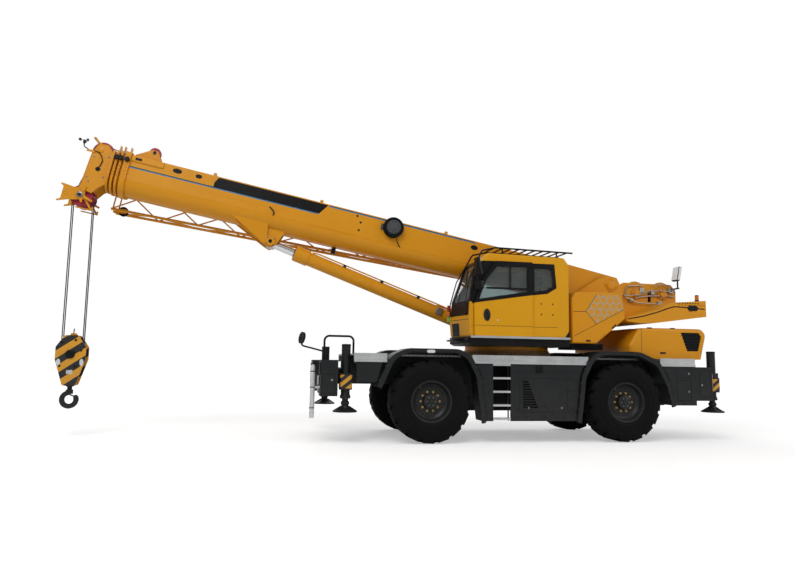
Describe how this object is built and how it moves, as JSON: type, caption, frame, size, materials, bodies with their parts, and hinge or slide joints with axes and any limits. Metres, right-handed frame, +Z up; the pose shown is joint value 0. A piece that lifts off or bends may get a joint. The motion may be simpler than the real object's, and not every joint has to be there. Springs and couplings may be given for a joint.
{
  "type": "rough-terrain mobile crane",
  "caption": "Compact rough-terrain crane: steered axles, outriggers, slewing deck with cab and winches, telescoping luffing boom, lattice jib and hook block.",
  "frame": {"origin": "on the ground below the slewing axis, midway between the axles", "axes": "+X forward along the boom, +Y to the driver's left, +Z up"},
  "size_m": [12.9799, 2.917, 5.4531],
  "materials": {
    "boom_yellow": "satin",
    "cab_yellow": "satin",
    "charcoal": "satin",
    "bright_trim": "brushed",
    "deck_plate": "checker",
    "bare_steel": "oiled",
    "dark_plastic": "matte",
    "window": "clear",
    "crimson": "satin",
    "chrome_rod": "polished",
    "wire_rope": "stranded",
    "hazard": "striped",
    "film": "gloss",
    "lamp_lens": "gloss",
    "tyre": "matte",
    "rim": "satin"
  },
  "bodies": {
    "carrier": {"chassis_frame": "charcoal", "axles": "charcoal", "outrigger_boxes": "charcoal", "deck": "deck_plate", "deck_trim": "bright_trim", "fenders": "charcoal", "side_panels": "charcoal", "ladder": "bright_trim", "cabinets": "charcoal", "battery_hood": "boom_yellow", "battery_pack": "dark_plastic", "slewing_ring": "bare_steel", "front_rail": "charcoal", "guard_post": "film", "lamps": "lamp_lens"},
    "superstructure": {"turntable": "boom_yellow", "counterweight": "boom_yellow", "winches": "boom_yellow", "cab_shell": "cab_yellow", "cab_glass": "window", "cab_base": "dark_plastic", "door_rail": "bright_trim", "cab_interior": "dark_plastic", "side_covers": "boom_yellow", "cab_guards": "dark_plastic", "upper_lamps": "lamp_lens"},
    "cab_door": {"cab_door": "cab_yellow", "door_glass": "window"},
    "boom_base": {"boom_base": "boom_yellow", "boom_fittings": "charcoal", "jib": "boom_yellow"},
    "boom_section_2": {"boom_section_2": "boom_yellow"},
    "boom_section_3": {"boom_section_3": "boom_yellow"},
    "boom_head": {"boom_head": "boom_yellow", "head_sheaves": "crimson"},
    "lift_barrel": {"lift_barrel": "boom_yellow"},
    "lift_rod": {"lift_rod": "chrome_rod"},
    "hook_hang": {"hoist_ropes": "wire_rope"},
    "hook_block": {"hook_block": "hazard"},
    "hook": {"hook": "charcoal"},
    "knuckle_front_left": {"knuckle_front_left": "charcoal"},
    "wheel_front_left": {"tyre_front_left": "tyre", "rim_front_left": "rim"},
    "beam_front_left": {"outrigger_beam_front_left": "charcoal"},
    "jack_front_left": {"outrigger_jack_front_left": "charcoal"},
    "knuckle_front_right": {"knuckle_front_right": "charcoal"},
    "wheel_front_right": {"tyre_front_right": "tyre", "rim_front_right": "rim"},
    "beam_front_right": {"outrigger_beam_front_right": "charcoal"},
    "jack_front_right": {"outrigger_jack_front_right": "charcoal"},
    "knuckle_rear_left": {"knuckle_rear_left": "charcoal"},
    "wheel_rear_left": {"tyre_rear_left": "tyre", "rim_rear_left": "rim"},
    "beam_rear_left": {"outrigger_beam_rear_left": "charcoal"},
    "jack_rear_left": {"outrigger_jack_rear_left": "charcoal"},
    "knuckle_rear_right": {"knuckle_rear_right": "charcoal"},
    "wheel_rear_right": {"tyre_rear_right": "tyre", "rim_rear_right": "rim"},
    "beam_rear_right": {"outrigger_beam_rear_right": "charcoal"},
    "jack_rear_right": {"outrigger_jack_rear_right": "charcoal"}
  },
  "joints": [
    {"name": "front_steer", "type": "hinge", "parent": "carrier", "child": "knuckle_front_left", "pos_m": [1.9, 0.905, 0.745], "axis": [0, 0, 1], "range_deg": [-28, 28]},
    {"name": "wheel_front_left", "type": "hinge", "parent": "knuckle_front_left", "child": "wheel_front_left", "pos_m": [1.9, 1.115, 0.745], "axis": [0, 1, 0], "continuous": true},
    {"name": "outrigger_front_left", "type": "slide", "parent": "carrier", "child": "beam_front_left", "axis": [0, 1, 0], "range_m": [0, 1.6]},
    {"name": "jack_front_left", "type": "slide", "parent": "beam_front_left", "child": "jack_front_left", "axis": [0, 0, -1], "range_m": [0, 0.54]},
    {"name": "front_steer_right", "type": "hinge", "parent": "carrier", "child": "knuckle_front_right", "pos_m": [1.9, -0.905, 0.745], "axis": [0, 0, 1], "range_deg": [-28, 28]},
    {"name": "wheel_front_right", "type": "hinge", "parent": "knuckle_front_right", "child": "wheel_front_right", "pos_m": [1.9, -1.115, 0.745], "axis": [0, 1, 0], "continuous": true},
    {"name": "outrigger_front_right", "type": "slide", "parent": "carrier", "child": "beam_front_right", "axis": [0, -1, 0], "range_m": [0, 1.6]},
    {"name": "jack_front_right", "type": "slide", "parent": "beam_front_right", "child": "jack_front_right", "axis": [0, 0, -1], "range_m": [0, 0.54]},
    {"name": "rear_steer", "type": "hinge", "parent": "carrier", "child": "knuckle_rear_left", "pos_m": [-1.9, 0.905, 0.745], "axis": [0, 0, 1], "range_deg": [-28, 28]},
    {"name": "wheel_rear_left", "type": "hinge", "parent": "knuckle_rear_left", "child": "wheel_rear_left", "pos_m": [-1.9, 1.115, 0.745], "axis": [0, 1, 0], "continuous": true},
    {"name": "outrigger_rear_left", "type": "slide", "parent": "carrier", "child": "beam_rear_left", "axis": [0, 1, 0], "range_m": [0, 1.6]},
    {"name": "jack_rear_left", "type": "slide", "parent": "beam_rear_left", "child": "jack_rear_left", "axis": [0, 0, -1], "range_m": [0, 0.54]},
    {"name": "rear_steer_right", "type": "hinge", "parent": "carrier", "child": "knuckle_rear_right", "pos_m": [-1.9, -0.905, 0.745], "axis": [0, 0, 1], "range_deg": [-28, 28]},
    {"name": "wheel_rear_right", "type": "hinge", "parent": "knuckle_rear_right", "child": "wheel_rear_right", "pos_m": [-1.9, -1.115, 0.745], "axis": [0, 1, 0], "continuous": true},
    {"name": "outrigger_rear_right", "type": "slide", "parent": "carrier", "child": "beam_rear_right", "axis": [0, -1, 0], "range_m": [0, 1.6]},
    {"name": "jack_rear_right", "type": "slide", "parent": "beam_rear_right", "child": "jack_rear_right", "axis": [0, 0, -1], "range_m": [0, 0.54]},
    {"name": "slew", "type": "hinge", "parent": "carrier", "child": "superstructure", "pos_m": [0, 0, 1.7], "axis": [0, 0, 1], "continuous": true},
    {"name": "cab_door", "type": "slide", "parent": "superstructure", "child": "cab_door", "axis": [-1, 0, 0], "range_m": [0, 0.74]},
    {"name": "boom_luff", "type": "hinge", "parent": "superstructure", "child": "boom_base", "pos_m": [-2.16, 0, 3.09], "axis": [0, -1, 0], "range_deg": [-2.5, 68]},
    {"name": "telescope", "type": "slide", "parent": "boom_base", "child": "boom_section_2", "axis": [0.9816, 0, 0.1908], "range_m": [0, 7.8]},
    {"name": "telescope_3", "type": "slide", "parent": "boom_section_2", "child": "boom_section_3", "axis": [0.9816, 0, 0.1908], "range_m": [0, 7.8]},
    {"name": "telescope_head", "type": "slide", "parent": "boom_section_3", "child": "boom_head", "axis": [0.9816, 0, 0.1908], "range_m": [0, 7.8]},
    {"name": "lift_barrel", "type": "hinge", "parent": "superstructure", "child": "lift_barrel", "pos_m": [0.45, 0, 2.06], "axis": [0, -1, 0], "range_deg": [-2.8, 73.54]},
    {"name": "lift_rod", "type": "slide", "parent": "lift_barrel", "child": "lift_rod", "axis": [0.9359, 0, 0.3522], "range_m": [-0.1184, 3.0883]},
    {"name": "hook_hang", "type": "hinge", "parent": "boom_head", "child": "hook_hang", "pos_m": [8.2837, 0, 4.39065], "axis": [0, -1, 0], "range_deg": [-68.1, 2.6]},
    {"name": "hoist", "type": "slide", "parent": "hook_hang", "child": "hook_block", "axis": [0, 0, 1], "range_m": [0, 2.3], "deforming": ["hoist_ropes"]},
    {"name": "hook_swivel", "type": "hinge", "parent": "hook_block", "child": "hook", "pos_m": [8.2837, 0, 1], "axis": [0, 0, 1], "continuous": true}
  ],
  "couplings": [
    {"joint": "front_steer_right", "follows": "front_steer", "ratio": 1},
    {"joint": "rear_steer_right", "follows": "rear_steer", "ratio": 1},
    {"joint": "telescope_3", "follows": "telescope", "ratio": 1},
    {"joint": "telescope_head", "follows": "telescope", "ratio": 1},
    {"joint": "lift_barrel", "follows": "boom_luff", "ratio": 1.08},
    {"joint": "lift_rod", "follows": "boom_luff", "m_per_rad": 2.5979},
    {"joint": "hook_hang", "follows": "boom_luff", "ratio": -1}
  ]
}
